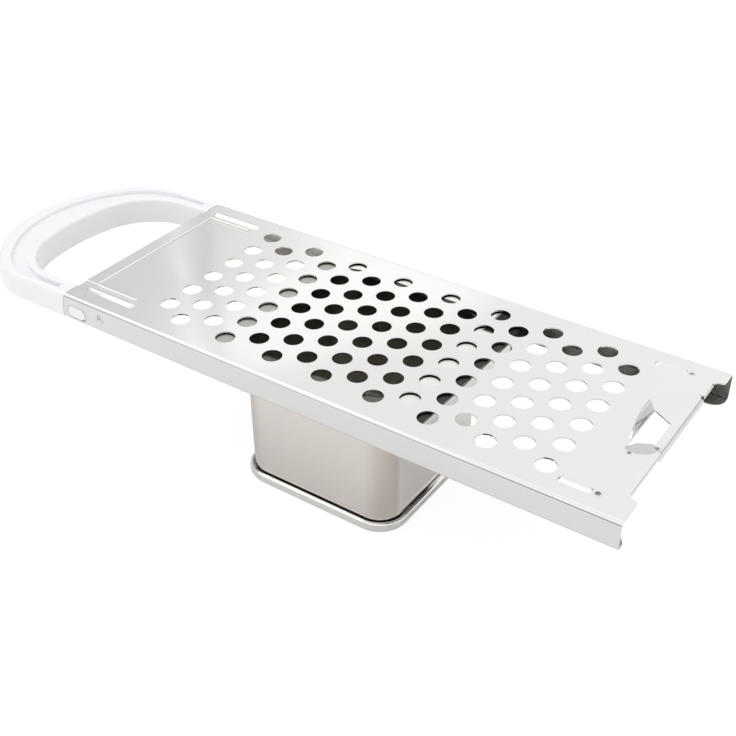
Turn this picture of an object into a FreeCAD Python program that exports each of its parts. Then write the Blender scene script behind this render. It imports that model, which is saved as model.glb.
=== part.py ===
"""Spaetzle maker: a perforated plate on rails, a sliding dough hopper and a loop handle.

The tool is modelled with its hopper standing on the ground and the plate on top of it.
X runs along the plate from the handle to the hooked end, Z points up, and every piece
is drawn in the frame of the plate (x = 0 at the plate's handle end, z = 0 on its face).
"""
import FreeCAD
import Part
import Sketcher
import math
import os

SIZES = (
    # overall
    ("stand_height", 66.9),
    ("plate_length", 250.4),
    ("plate_width", 100.0),
    ("handle_reach", 69.4),
    # folded sheet of the plate
    ("sheet", 0.6),
    ("rail_depth", 11.8),
    ("rail_lip", 7.6),
    ("bend_radius", 1.6),
    ("lip_corner", 5.5),
    ("rail_rake", 1.7),
    # hooked end of the plate
    ("ear_length", 3.5),
    ("near_ear_width", 13.0),
    ("far_ear_width", 8.8),
    ("ear_round", 2.0),
    ("ear_tip", 1.4),
    ("end_band", 1.5),
    ("end_band_bend", 1.2),
    ("end_lip_width", 40.0),
    ("end_lip_side", 10.0),
    ("end_lip_depth", 3.5),
    ("end_lip_bend", 3.0),
    # holes
    ("hole_bore", 8.0),
    ("hole_pitch", 13.5),
    ("hole_rows", 6),
    ("column_pitch", 11.69),
    ("column_pairs", 8),
    ("first_column", 41.8),
    # ribs and beads pressed into the plate
    ("rib_width", 4.0),
    ("rib_height", 1.0),
    ("ridge_slope", 50.0),
    ("rib_side", 40.7),
    ("rib_start", 4.6),
    ("rib_long", 27.1),
    ("rib_short", 13.4),
    ("rib_short_inset", 13.9),
    ("dot_bore", 2.0),
    ("dot_gap", 0.3),
    ("dot_depth", 0.33),
    ("end_bead_width", 6.8),
    ("end_bead_height", 0.7),
    ("side_bead_width", 1.8),
    ("side_bead_side", 36.4),
    ("side_bead_length", 22.0),
    # window and its raised lips
    ("window_inset", 15.2),
    ("window_length", 7.9),
    ("window_wide", 26.3),
    ("window_narrow", 17.1),
    ("window_side", 1.05),
    ("near_lip_height", 2.3),
    ("near_lip_reach", 11.2),
    ("near_lip_ramp", 3.8),
    ("near_lip_taper", 3.6),
    ("back_lip_lean", 24.0),
    ("back_lip_end_height", 4.6),
    ("back_lip_bow", 33.0),
    ("back_lip_start", 4.6),
    ("lip_gap", 0.6),
    ("relief_bore", 1.6),
    ("relief_along", 2.4),
    ("relief_side", 15.6),
    # slots and stops in the rails
    ("slot_start", 1.0),
    ("slot_length", 11.1),
    ("slot_width", 5.8),
    ("slot_drop", 7.1),
    ("stop_along", 20.0),
    ("stop_drop", 5.2),
    ("stop_bore", 4.4),
    ("stop_depth", 1.0),
    # handle
    ("arm_width", 9.5),
    ("grip_width", 23.7),
    ("tip_curve", 1.115),
    ("corner_curve", 0.535),
    ("opening_tip_curve", 1.92),
    ("opening_corner_curve", 0.70),
    ("handle_droop", 1.45),
    ("heel_drop", 0.9),
    ("tip_thickness", 12.3),
    ("outer_round", 3.0),
    ("top_round", 2.6),
    ("inner_round", 1.3),
    ("recess_depth", 2.6),
    ("recess_outer_wall", 3.2),
    ("recess_tip_wall", 7.4),
    ("recess_tip_curve", 1.13),
    ("recess_corner_curve", 0.7),
    ("recess_inner_wall", 3.7),
    ("recess_end", 6.6),
    ("shoulder_gap", 0.5),
    ("tenon_length", 16.0),
    ("tenon_gap", 0.15),
    ("lug_gap", 0.25),
    ("lug_short", 1.2),
    # sliding plate of the hopper
    ("slide_gap", 0.55),
    ("slide_sheet", 0.5),
    ("slide_side_gap", 0.8),
    ("slide_lip_gap", 0.4),
    ("slide_front", 53.4),
    ("slide_back", 47.6),
    ("slide_corner", 3.0),
    ("slide_round", 1.5),
    ("mouth_draw", 1.75),
    # hopper box
    ("hopper_station", 116.7),
    ("box_width", 72.2),
    ("box_wall", 0.5),
    ("box_corner", 10.9),
    ("rim_out", 2.2),
    ("rim_height", 4.0),
    ("rim_groove", 0.8),
    ("rim_groove_depth", 2.2),
    ("foot_out", 3.0),
)

doc = FreeCAD.newDocument("SpaetzleMaker")
sizes = doc.addObject("Spreadsheet::Sheet", "Sizes")
for row, (alias, value) in enumerate(SIZES, start=1):
    sizes.set(f"A{row}", alias)
    sizes.set(f"B{row}", str(value))
    sizes.setAlias(f"B{row}", alias)
doc.recompute()

# Places that several features share, written with the sizes above
HALF_WIDTH = "Sizes.plate_width / 2"
LIP_EDGE = "(Sizes.plate_width / 2 - Sizes.rail_lip)"
RAIL_FACE = "(Sizes.plate_width / 2 - Sizes.sheet)"
MAIN_END = "(Sizes.plate_length - Sizes.ear_length)"
LIP_LOW_SIDE = "(Sizes.end_lip_side - Sizes.end_lip_width / 2)"
LIP_HIGH_SIDE = "(Sizes.end_lip_side + Sizes.end_lip_width / 2)"
NEAR_EAR = "(Sizes.plate_width / 2 - Sizes.near_ear_width)"
FAR_EAR = "(Sizes.plate_width / 2 - Sizes.far_ear_width)"
SLIDE_TOP = "(Sizes.sheet + Sizes.slide_gap)"
SLIDE_UNDER = "(Sizes.sheet + Sizes.slide_gap + Sizes.slide_sheet)"
SLIDE_BOTTOM = "(Sizes.rail_depth - Sizes.sheet - Sizes.slide_lip_gap)"
SLIDE_HALF = "(Sizes.plate_width / 2 - Sizes.sheet - Sizes.slide_side_gap)"
OVER = 2.0


def number(expression):
    """Value of an expression over the sizes."""
    return float(sizes.evalExpression(expression.replace("Sizes.", "")))


def plane(body, role):
    """Origin plane of a body."""
    for feature in body.Origin.OriginFeatures:
        if feature.Role == role:
            return feature
    raise ValueError(role)


def new_body(label, along, up="Sizes.stand_height"):
    """Body whose frame lies at the plate's frame, moved along the plate."""
    body = doc.addObject("PartDesign::Body", label)
    body.Label = label
    body.setExpression("Placement.Base.x", along)
    body.setExpression("Placement.Base.z", up)
    return body


def new_sketch(body, name, role, offset=None):
    """Sketch on an origin plane, moved along the plane's normal."""
    sketch = body.newObject("Sketcher::SketchObject", name)
    sketch.AttachmentSupport = [(plane(body, role), "")]
    sketch.MapMode = "FlatFace"
    if offset is not None:
        sketch.setExpression("AttachmentOffset.Base.z", offset)
    return sketch


def bind(sketch, kind, first, second, expression):
    """Dimension from the origin (or of one curve) that follows an expression."""
    value = number(expression)
    if second is None:
        index = sketch.addConstraint(Sketcher.Constraint(kind, first, value))
    else:
        index = sketch.addConstraint(Sketcher.Constraint(kind, -1, 1, first, second, value))
    name = f"size{index}"
    sketch.renameConstraint(index, name)
    sketch.setExpression(f"Constraints.{name}", expression)


def polygon(sketch, corners):
    """Closed outline whose corners all follow expressions."""
    points = []
    for across, up in corners:
        points.append(FreeCAD.Vector(number(across), number(up), 0))
    count = len(points)
    start = sketch.GeometryCount
    for index, point in enumerate(points):
        line = Part.LineSegment(point, points[(index + 1) % count])
        sketch.addGeometry(line, False)
    for index in range(count):
        following = start + (index + 1) % count
        sketch.addConstraint(Sketcher.Constraint("Coincident", start + index, 2, following, 1))
    for index, (across, up) in enumerate(corners):
        bind(sketch, "DistanceX", start + index, 1, across)
        bind(sketch, "DistanceY", start + index, 1, up)


def rectangle(sketch, low_x, low_y, high_x, high_y):
    """Rectangle between two corners."""
    polygon(sketch, ((low_x, low_y), (high_x, low_y), (high_x, high_y), (low_x, high_y)))


def rounded(sketch, corners):
    """Closed outline of level and upright lines; a corner with a radius gets an arc."""
    points = []
    for across, up, radius in corners:
        points.append(FreeCAD.Vector(number(across), number(up), 0))
    count = len(points)
    radii = []
    for corner in corners:
        radii.append(0.0 if corner[2] is None else number(corner[2]))
    ends = []
    for index, point in enumerate(points):
        before = (points[index - 1] - point).normalize()
        after = (points[(index + 1) % count] - point).normalize()
        ends.append((point + before * radii[index], point + after * radii[index]))
    start = sketch.GeometryCount
    for index in range(count):
        line = Part.LineSegment(ends[index][1], ends[(index + 1) % count][0])
        sketch.addGeometry(line, False)
    for index, (across, up, radius) in enumerate(corners):
        line = start + index
        previous = start + (index - 1) % count
        if radius is None:
            sketch.addConstraint(Sketcher.Constraint("Coincident", previous, 2, line, 1))
        else:
            enter, leave = ends[index]
            centre = enter + leave - points[index]
            turn = (points[index] - enter).cross(leave - points[index]).z
            first = enter if turn > 0 else leave
            last = leave if turn > 0 else enter
            angle = math.atan2(first.y - centre.y, first.x - centre.x)
            stop = math.atan2(last.y - centre.y, last.x - centre.x)
            circle = Part.Circle(centre, FreeCAD.Vector(0, 0, 1), radii[index])
            arc = sketch.addGeometry(Part.ArcOfCircle(circle, angle, stop), False)
            near = 1 if turn > 0 else 2
            sketch.addConstraint(Sketcher.Constraint("Tangent", previous, 2, arc, near))
            sketch.addConstraint(Sketcher.Constraint("Tangent", line, 1, arc, 3 - near))
            bind(sketch, "Radius", arc, None, radius)
    for index in range(count):
        line = start + index
        point = points[index]
        beyond = points[(index + 1) % count]
        if abs(point.x - beyond.x) < 1e-6:
            sketch.addConstraint(Sketcher.Constraint("Vertical", line))
            bind(sketch, "DistanceX", line, 1, corners[index][0])
        else:
            sketch.addConstraint(Sketcher.Constraint("Horizontal", line))
            bind(sketch, "DistanceY", line, 1, corners[index][1])


def rounded_square(sketch, half, radius):
    """Square about the origin with four equal round corners."""
    rounded(sketch, (
        (f"-{half}", f"-{half}", radius),
        (half, f"-{half}", radius),
        (half, half, radius),
        (f"-{half}", half, radius),
    ))


def bow(sketch, tip, half, tip_radius, corner_radius, end):
    """Open D-shaped line: an arm, a corner arc, the tip arc, a corner arc and an arm."""
    big = number(tip_radius)
    small = number(corner_radius)
    height = number(half)
    centre_x = number(tip) + big
    corner_y = height - small
    corner_x = centre_x - math.sqrt((big - small) ** 2 - corner_y ** 2)
    angle = math.atan2(corner_y, corner_x - centre_x)
    end_x = number(end)
    normal = FreeCAD.Vector(0, 0, 1)
    upper = Part.Circle(FreeCAD.Vector(corner_x, corner_y, 0), normal, small)
    middle = Part.Circle(FreeCAD.Vector(centre_x, 0, 0), normal, big)
    lower = Part.Circle(FreeCAD.Vector(corner_x, -corner_y, 0), normal, small)
    first = sketch.GeometryCount
    curves = (
        Part.LineSegment(FreeCAD.Vector(end_x, height, 0), FreeCAD.Vector(corner_x, height, 0)),
        Part.ArcOfCircle(upper, math.pi / 2, angle),
        Part.ArcOfCircle(middle, angle, 2 * math.pi - angle),
        Part.ArcOfCircle(lower, 2 * math.pi - angle, 1.5 * math.pi),
        Part.LineSegment(FreeCAD.Vector(corner_x, -height, 0), FreeCAD.Vector(end_x, -height, 0)),
    )
    for curve in curves:
        sketch.addGeometry(curve, False)
    last = first + len(curves) - 1
    for index in range(first, last):
        sketch.addConstraint(Sketcher.Constraint("Tangent", index, 2, index + 1, 1))
    sketch.addConstraint(Sketcher.Constraint("Horizontal", first))
    sketch.addConstraint(Sketcher.Constraint("Horizontal", last))
    sketch.addConstraint(Sketcher.Constraint("PointOnObject", first + 2, 3, -1))
    bind(sketch, "Radius", first + 1, None, corner_radius)
    bind(sketch, "Radius", first + 2, None, tip_radius)
    bind(sketch, "Radius", first + 3, None, corner_radius)
    bind(sketch, "DistanceX", first + 2, 3, f"{tip} + {tip_radius}")
    bind(sketch, "DistanceY", first, 1, half)
    bind(sketch, "DistanceY", last, 2, f"-{half}")
    bind(sketch, "DistanceX", first, 1, end)
    bind(sketch, "DistanceX", last, 2, end)
    return first, last


def crown(sketch, low, high, base, near_height, far_height, radius):
    """Closed outline with a level base, two upright sides and a bowed upper edge."""
    start = FreeCAD.Vector(number(low), number(near_height), 0)
    stop = FreeCAD.Vector(number(high), number(far_height), 0)
    bend = number(radius)
    chord = stop - start
    middle = (start + stop) * 0.5
    across = FreeCAD.Vector(chord.y, -chord.x, 0).normalize()
    centre = middle + across * math.sqrt(bend ** 2 - (chord.Length / 2) ** 2)
    first_angle = math.atan2(stop.y - centre.y, stop.x - centre.x)
    last_angle = math.atan2(start.y - centre.y, start.x - centre.x)
    foot = number(base)
    first = sketch.GeometryCount
    disc = Part.Circle(centre, FreeCAD.Vector(0, 0, 1), bend)
    for curve in (
        Part.LineSegment(start, FreeCAD.Vector(start.x, foot, 0)),
        Part.LineSegment(FreeCAD.Vector(start.x, foot, 0), FreeCAD.Vector(stop.x, foot, 0)),
        Part.LineSegment(FreeCAD.Vector(stop.x, foot, 0), stop),
        Part.ArcOfCircle(disc, first_angle, last_angle),
    ):
        sketch.addGeometry(curve, False)
    for index in range(4):
        following = first + (index + 1) % 4
        sketch.addConstraint(Sketcher.Constraint("Coincident", first + index, 2, following, 1))
    bind(sketch, "DistanceX", first, 1, low)
    bind(sketch, "DistanceY", first, 1, near_height)
    bind(sketch, "DistanceX", first, 2, low)
    bind(sketch, "DistanceY", first, 2, base)
    bind(sketch, "DistanceX", first + 1, 2, high)
    bind(sketch, "DistanceY", first + 1, 2, base)
    bind(sketch, "DistanceX", first + 2, 2, high)
    bind(sketch, "DistanceY", first + 2, 2, far_height)
    bind(sketch, "Radius", first + 3, None, radius)


def join(sketch, first, first_end, second, second_end):
    """Line that closes a gap between the ends of two curves."""
    start = sketch.getPoint(first, first_end)
    stop = sketch.getPoint(second, second_end)
    line = sketch.addGeometry(Part.LineSegment(start, stop), False)
    sketch.addConstraint(Sketcher.Constraint("Coincident", first, first_end, line, 1))
    sketch.addConstraint(Sketcher.Constraint("Coincident", second, second_end, line, 2))


def circle(sketch, across, up, bore):
    """Circle whose centre and diameter follow expressions."""
    centre = FreeCAD.Vector(number(across), number(up), 0)
    normal = FreeCAD.Vector(0, 0, 1)
    index = sketch.addGeometry(Part.Circle(centre, normal, number(bore) / 2), False)
    bind(sketch, "DistanceX", index, 3, across)
    bind(sketch, "DistanceY", index, 3, up)
    bind(sketch, "Diameter", index, None, bore)


def pad(body, sketch, name, length, reverse=False, both=False):
    """Pad by a bound length."""
    feature = body.newObject("PartDesign::Pad", name)
    feature.Profile = sketch
    feature.setExpression("Length", length)
    feature.Reversed = reverse
    feature.Midplane = both
    sketch.Visibility = False
    doc.recompute()
    return feature


def pocket(body, sketch, name, length, reverse=False, both=False):
    """Pocket by a bound length; it has to remove something."""
    before = body.Tip.Shape.Volume
    feature = body.newObject("PartDesign::Pocket", name)
    feature.Profile = sketch
    feature.setExpression("Length", length)
    feature.Reversed = reverse
    feature.Midplane = both
    doc.recompute()
    if feature.Shape.Volume > before - 1e-6:
        raise RuntimeError(f"{name} cuts nothing")
    return feature


def is_near(first, second):
    """Whether two lengths are the same within the model's tolerance."""
    return abs(first - second) < 1e-4


def pick(shape, test):
    """Names of the edges whose bounding box passes a test."""
    names = []
    for index, edge in enumerate(shape.Edges, start=1):
        if test(edge.BoundBox):
            names.append(f"Edge{index}")
    if not names:
        raise RuntimeError("no such edge")
    return names


def fillet(body, name, radius, test):
    """Fillet of the picked edges by a bound radius."""
    base = body.Tip
    feature = body.newObject("PartDesign::Fillet", name)
    feature.Base = (base, pick(base.Shape, test))
    feature.setExpression("Radius", radius)
    doc.recompute()
    return feature


def mirror(body, name, originals):
    """The same features on the other side of the middle plane."""
    feature = body.newObject("PartDesign::Mirrored", name)
    feature.Originals = originals
    feature.MirrorPlane = (plane(body, "XZ_Plane"), [""])
    body.Tip = feature
    doc.recompute()
    return feature


def hole_grid(body, name, column, lowest):
    """Every second column of the holes, from its first hole."""
    sketch = new_sketch(body, f"{name}Sketch", "XY_Plane")
    circle(sketch, column, lowest, "Sizes.hole_bore")
    cut = pocket(body, sketch, f"{name}Cut", "Sizes.sheet * 2")
    grid = body.newObject("PartDesign::MultiTransform", name)
    grid.Originals = [cut]
    rows = body.newObject("PartDesign::LinearPattern", f"{name}Rows")
    rows.Direction = (sketch, ["V_Axis"])
    rows.setExpression("Length", "Sizes.hole_pitch * (Sizes.hole_rows - 1)")
    rows.setExpression("Occurrences", "Sizes.hole_rows")
    columns = body.newObject("PartDesign::LinearPattern", f"{name}Columns")
    columns.Direction = (sketch, ["H_Axis"])
    columns.setExpression("Length", "Sizes.column_pitch * 2 * (Sizes.column_pairs - 1)")
    columns.setExpression("Occurrences", "Sizes.column_pairs")
    grid.Transformations = [rows, columns]
    body.Tip = grid
    doc.recompute()
    return grid


PLATE_AT = "(Sizes.handle_reach - Sizes.plate_length) / 2"

# --- grater_plate: one folded sheet ---------------------------------------------------
plate = new_body("grater_plate", PLATE_AT)

section = new_sketch(plate, "ChannelSection", "YZ_Plane", "-Sizes.rail_rake")
polygon(section, (
    (f"-{HALF_WIDTH}", "0"),
    (f"-{HALF_WIDTH}", "-Sizes.rail_depth"),
    (f"-{LIP_EDGE}", "-Sizes.rail_depth"),
    (f"-{LIP_EDGE}", "-Sizes.rail_depth + Sizes.sheet"),
    (f"-{RAIL_FACE}", "-Sizes.rail_depth + Sizes.sheet"),
    (f"-{RAIL_FACE}", "-Sizes.sheet"),
    (RAIL_FACE, "-Sizes.sheet"),
    (RAIL_FACE, "-Sizes.rail_depth + Sizes.sheet"),
    (LIP_EDGE, "-Sizes.rail_depth + Sizes.sheet"),
    (LIP_EDGE, "-Sizes.rail_depth"),
    (HALF_WIDTH, "-Sizes.rail_depth"),
    (HALF_WIDTH, "0"),
))
pad(plate, section, "Channel", "Sizes.plate_length + Sizes.rail_rake")

rake = new_sketch(plate, "RakeSketch", "XZ_Plane")
polygon(rake, (
    (f"-Sizes.rail_rake - {OVER}", f"{OVER}"),
    (f"-Sizes.rail_rake - {OVER}", f"-Sizes.rail_depth - {OVER}"),
    (f"-Sizes.rail_rake * (1 + {OVER} / Sizes.rail_depth)", f"-Sizes.rail_depth - {OVER}"),
    ("0", "0"),
    ("0", f"{OVER}"),
))
pocket(plate, rake, "Rake", f"Sizes.plate_width + {OVER}", both=True)

half = number(HALF_WIDTH)
depth = number("Sizes.rail_depth")
sheet = number("Sizes.sheet")


def long_edge(box, across, up):
    """Whether an edge runs along the whole plate at |y| = across and z = up."""
    runs = box.XLength > number("Sizes.plate_length") / 2
    side = is_near(abs(box.YMin), across) and box.YLength < 1e-4
    return runs and side and is_near(box.ZMin, up) and box.ZLength < 1e-4


fillet(plate, "OuterBends", "Sizes.bend_radius",
       lambda box: long_edge(box, half, 0) or long_edge(box, half, -depth))
fillet(plate, "InnerBends", "Sizes.bend_radius - Sizes.sheet",
       lambda box: long_edge(box, half - sheet, -sheet)
       or long_edge(box, half - sheet, sheet - depth))

outline = new_sketch(plate, "EndOutline", "XY_Plane")
rounded(outline, (
    (MAIN_END, f"-{NEAR_EAR}", "Sizes.ear_round"),
    (f"Sizes.plate_length + {OVER}", f"-{NEAR_EAR}", None),
    (f"Sizes.plate_length + {OVER}", FAR_EAR, None),
    (MAIN_END, FAR_EAR, "Sizes.ear_round"),
))
pocket(plate, outline, "EndCut", "Sizes.sheet * 2")
plate_length = number("Sizes.plate_length")
fillet(plate, "EarTips", "Sizes.ear_tip",
       lambda box: is_near(box.XMin, plate_length) and is_near(box.XMax, plate_length)
       and box.YLength < 1e-4 and is_near(box.ZMin, -sheet) and is_near(box.ZLength, sheet))

lip_start = f"({MAIN_END} - Sizes.end_lip_bend)"
notch = new_sketch(plate, "EndNotch", "XY_Plane")
rectangle(notch, lip_start, LIP_LOW_SIDE, f"{MAIN_END} + {OVER}", LIP_HIGH_SIDE)
pocket(plate, notch, "EndNotchCut", "Sizes.sheet * 2")

band_from = f"({MAIN_END} - Sizes.end_band_bend)"
band_start = f"(-{NEAR_EAR} + Sizes.ear_round)"
band_stop = f"({FAR_EAR} - Sizes.ear_round)"
band_notch = new_sketch(plate, "BandNotch", "XY_Plane")
rectangle(band_notch, band_from, band_start, f"{MAIN_END} + {OVER}", band_stop)
pocket(plate, band_notch, "BandNotchCut", "Sizes.sheet * 2")
for side, edge, width in (
    ("Near", LIP_LOW_SIDE, f"{LIP_LOW_SIDE} - {band_start}"),
    ("Far", band_stop, f"{band_stop} - {LIP_HIGH_SIDE}"),
):
    band = new_sketch(plate, f"{side}BandSketch", "XZ_Plane", f"-{edge}")
    rounded(band, (
        (f"{band_from} - Sizes.sheet", "-Sizes.sheet", None),
        (f"{MAIN_END} - Sizes.sheet", "-Sizes.sheet", "Sizes.end_band_bend - Sizes.sheet"),
        (f"{MAIN_END} - Sizes.sheet", "-Sizes.end_band", None),
        (MAIN_END, "-Sizes.end_band", None),
        (MAIN_END, "0", "Sizes.end_band_bend"),
        (f"{band_from} - Sizes.sheet", "0", None),
    ))
    pad(plate, band, f"{side}Band", width)

end_lip = new_sketch(plate, "EndLipSketch", "XZ_Plane", f"-{LIP_HIGH_SIDE}")
rounded(end_lip, (
    (f"{lip_start} - Sizes.sheet", "-Sizes.sheet", None),
    (f"{MAIN_END} - Sizes.sheet", "-Sizes.sheet", "Sizes.end_lip_bend - Sizes.sheet"),
    (f"{MAIN_END} - Sizes.sheet", "-Sizes.end_lip_depth", None),
    (MAIN_END, "-Sizes.end_lip_depth", None),
    (MAIN_END, "0", "Sizes.end_lip_bend"),
    (f"{lip_start} - Sizes.sheet", "0", None),
))
pad(plate, end_lip, "EndLip", "Sizes.end_lip_width")

lip_corner = number(LIP_EDGE)
fillet(plate, "LipCorners", "Sizes.lip_corner",
       lambda box: is_near(box.XMin, plate_length) and is_near(box.XMax, plate_length)
       and box.YLength < 1e-4 and is_near(abs(box.YMin), lip_corner)
       and is_near(box.ZMin, -depth) and is_near(box.ZLength, sheet))

stagger = "Sizes.hole_pitch / 4"
lowest = "-Sizes.hole_pitch * (Sizes.hole_rows - 1) / 2"
hole_grid(plate, "FirstHoles", "Sizes.first_column", f"{lowest} + {stagger}")
hole_grid(plate, "SecondHoles", "Sizes.first_column + Sizes.column_pitch", f"{lowest} - {stagger}")

# ribs near the four corners
ribs = new_sketch(plate, "RibSketch", "XY_Plane", "-Sizes.sheet / 2")
rib_low = "(Sizes.rib_side - Sizes.rib_width / 2)"
rib_high = "(Sizes.rib_side + Sizes.rib_width / 2)"
rib_left = "Sizes.rib_start"
rib_left_end = "(Sizes.rib_start + Sizes.rib_long)"
rib_right_end = "(Sizes.plate_length - Sizes.rib_short_inset)"
rib_right = "(Sizes.plate_length - Sizes.rib_short_inset - Sizes.rib_short)"
rib_round = "Sizes.rib_width * 0.48"
for start, end in ((rib_left, rib_left_end), (rib_right, rib_right_end)):
    for low, high in ((rib_low, rib_high), (f"-{rib_high}", f"-{rib_low}")):
        rounded(ribs, (
            (start, low, rib_round),
            (end, low, rib_round),
            (end, high, rib_round),
            (start, high, rib_round),
        ))
rib_pad = pad(plate, ribs, "Ribs", "Sizes.rib_height + Sizes.sheet / 2")
rib_pad.setExpression("TaperAngle", "-Sizes.ridge_slope")
doc.recompute()
rib_top = number("Sizes.rib_height")
fillet(plate, "RibRounds", "Sizes.rib_height * 0.8",
       lambda box: is_near(box.ZMin, rib_top) and is_near(box.ZMax, rib_top))

# bead across the handle end, turning along both sides
bead = new_sketch(plate, "BeadSketch", "XY_Plane", "-Sizes.sheet / 2")
bead_side = "(Sizes.side_bead_side + Sizes.side_bead_width / 2)"
bead_inner = "(Sizes.side_bead_side - Sizes.side_bead_width / 2)"
bead_reach = "(Sizes.end_bead_width + Sizes.side_bead_length)"
polygon(bead, (
    ("0", f"-{bead_side}"),
    (bead_reach, f"-{bead_side}"),
    (bead_reach, f"-{bead_inner}"),
    ("Sizes.end_bead_width", f"-{bead_inner}"),
    ("Sizes.end_bead_width", bead_inner),
    (bead_reach, bead_inner),
    (bead_reach, bead_side),
    ("0", bead_side),
))
pad(plate, bead, "EndBead", "Sizes.end_bead_height + Sizes.sheet / 2")
bead_top = number("Sizes.end_bead_height")
fillet(plate, "BeadRounds", "Sizes.end_bead_height * 0.8",
       lambda box: is_near(box.ZMin, bead_top) and is_near(box.ZMax, bead_top))

# window with two lips folded up out of it
window_edge = "(Sizes.plate_length - Sizes.window_inset)"
window_end = "(Sizes.plate_length - Sizes.window_inset + Sizes.window_length)"
wide_near = "(Sizes.window_wide / 2 + Sizes.window_side)"
wide_far = "(Sizes.window_wide / 2 - Sizes.window_side)"
narrow_near = "(Sizes.window_narrow / 2 + Sizes.window_side)"
narrow_far = "(Sizes.window_narrow / 2 - Sizes.window_side)"
draft = "((Sizes.window_wide - Sizes.window_narrow) / 2 / Sizes.window_length)"
lip_across = f"(Sizes.sheet * sqrt(1 + {draft} ^ 2))"
window = new_sketch(plate, "WindowSketch", "XY_Plane")
polygon(window, (
    (window_edge, f"-{wide_near}"),
    (window_end, f"-{narrow_near}"),
    (window_end, narrow_far),
    (window_edge, wide_far),
))
pocket(plate, window, "Window", "Sizes.sheet * 2")

near_lip = new_sketch(plate, "NearLipSketch", "XY_Plane", "-Sizes.sheet")
near_lip_end = f"({window_edge} + Sizes.near_lip_reach)"
near_lip_side = f"({wide_near} - {draft} * Sizes.near_lip_reach)"
polygon(near_lip, (
    (window_edge, f"-{wide_near}"),
    (near_lip_end, f"-{near_lip_side}"),
    (near_lip_end, f"-{near_lip_side} + {lip_across}"),
    (window_edge, f"-{wide_near} + {lip_across}"),
))
pad(plate, near_lip, "NearLip", "Sizes.near_lip_height + Sizes.sheet")

taper = new_sketch(plate, "NearLipTaper", "XZ_Plane")
polygon(taper, (
    (f"{window_edge} - {OVER}", "Sizes.sheet / 2"),
    (window_edge, "Sizes.sheet / 2"),
    (f"{window_edge} + Sizes.near_lip_ramp", "Sizes.near_lip_height"),
    (f"{window_edge} + Sizes.near_lip_ramp", f"Sizes.near_lip_height + {OVER}"),
    (f"{window_edge} - {OVER}", f"Sizes.near_lip_height + {OVER}"),
))
polygon(taper, (
    (f"{near_lip_end} - Sizes.near_lip_taper", "Sizes.near_lip_height"),
    (f"{near_lip_end}", "Sizes.sheet / 2"),
    (f"{near_lip_end} + {OVER}", "Sizes.sheet / 2"),
    (f"{near_lip_end} + {OVER}", f"Sizes.near_lip_height + {OVER}"),
    (f"{near_lip_end} - Sizes.near_lip_taper", f"Sizes.near_lip_height + {OVER}"),
))
pocket(plate, taper, "NearLipTaperCut", "Sizes.window_wide", reverse=True)

back_lip = new_sketch(plate, "BackLipSketch", "YZ_Plane", window_edge)
back_lip.AttachmentOffset = FreeCAD.Placement(
    FreeCAD.Vector(0, 0, number(window_edge)),
    FreeCAD.Rotation(FreeCAD.Vector(-1, 0, 0), number("Sizes.back_lip_lean")))
back_lip.setExpression("AttachmentOffset.Rotation.Angle", "Sizes.back_lip_lean")
back_low = "(Sizes.back_lip_start - Sizes.window_wide / 2)"
back_high = f"({wide_far} - Sizes.lip_gap)"
crown(back_lip, back_low, back_high, "-Sizes.sheet * 0.7", "Sizes.sheet / 2",
      "Sizes.back_lip_end_height", "Sizes.back_lip_bow")
pad(plate, back_lip, "BackLip", "Sizes.sheet", reverse=True)

relief = new_sketch(plate, "ReliefSketch", "XY_Plane")
dot_along = f"{rib_right_end} + Sizes.dot_gap + Sizes.dot_bore / 2"
circle(relief, dot_along, "-Sizes.rib_side", "Sizes.dot_bore")
circle(relief, dot_along, "Sizes.rib_side", "Sizes.dot_bore")
circle(relief, f"{window_edge} + Sizes.relief_along", "-Sizes.relief_side", "Sizes.relief_bore")
pocket(plate, relief, "Relief", "Sizes.dot_depth")

# slot for the handle's lug and pressed stop, on both rails
slot = new_sketch(plate, "SlotSketch", "XZ_Plane")
slot_end = "(Sizes.slot_start + Sizes.slot_length)"
slot_low = "(-Sizes.slot_drop - Sizes.slot_width / 2)"
slot_high = "(-Sizes.slot_drop + Sizes.slot_width / 2)"
slot_round = "Sizes.slot_width * 0.49"
rounded(slot, (
    ("Sizes.slot_start", slot_low, slot_round),
    (slot_end, slot_low, slot_round),
    (slot_end, slot_high, slot_round),
    ("Sizes.slot_start", slot_high, slot_round),
))
pocket(plate, slot, "Slots", f"Sizes.plate_width + {OVER}", both=True)

boss = new_sketch(plate, "StopSketch", "XZ_Plane", f"{HALF_WIDTH} - Sizes.sheet / 2")
circle(boss, "Sizes.stop_along", "-Sizes.stop_drop", "Sizes.stop_bore")
stop_boss = pad(plate, boss, "StopBoss", "Sizes.stop_depth + Sizes.sheet / 2", reverse=True)
dent = new_sketch(plate, "DentSketch", "XZ_Plane", HALF_WIDTH)
circle(dent, "Sizes.stop_along", "-Sizes.stop_drop", "Sizes.stop_bore - Sizes.sheet * 2")
stop_dent = pocket(plate, dent, "StopDent", "Sizes.stop_depth")
mirror(plate, "FarStop", [stop_boss, stop_dent])
dent_bore = number("Sizes.stop_bore - Sizes.sheet * 2")
stop_floor = half - number("Sizes.stop_depth")
fillet(plate, "StopMouthRound", "Sizes.sheet * 0.9",
       lambda box: is_near(abs(box.YMin), half) and box.YLength < 1e-4
       and is_near(box.XLength, dent_bore))
fillet(plate, "StopFloorRound", "Sizes.sheet * 0.6",
       lambda box: is_near(abs(box.YMin), stop_floor) and box.YLength < 1e-4
       and is_near(box.XLength, dent_bore))

# --- handle: one moulded loop with a tenon in each rail -------------------------------
handle = new_body("handle", PLATE_AT)
shoulder = "-Sizes.shoulder_gap"
reach = "-Sizes.handle_reach"

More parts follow.
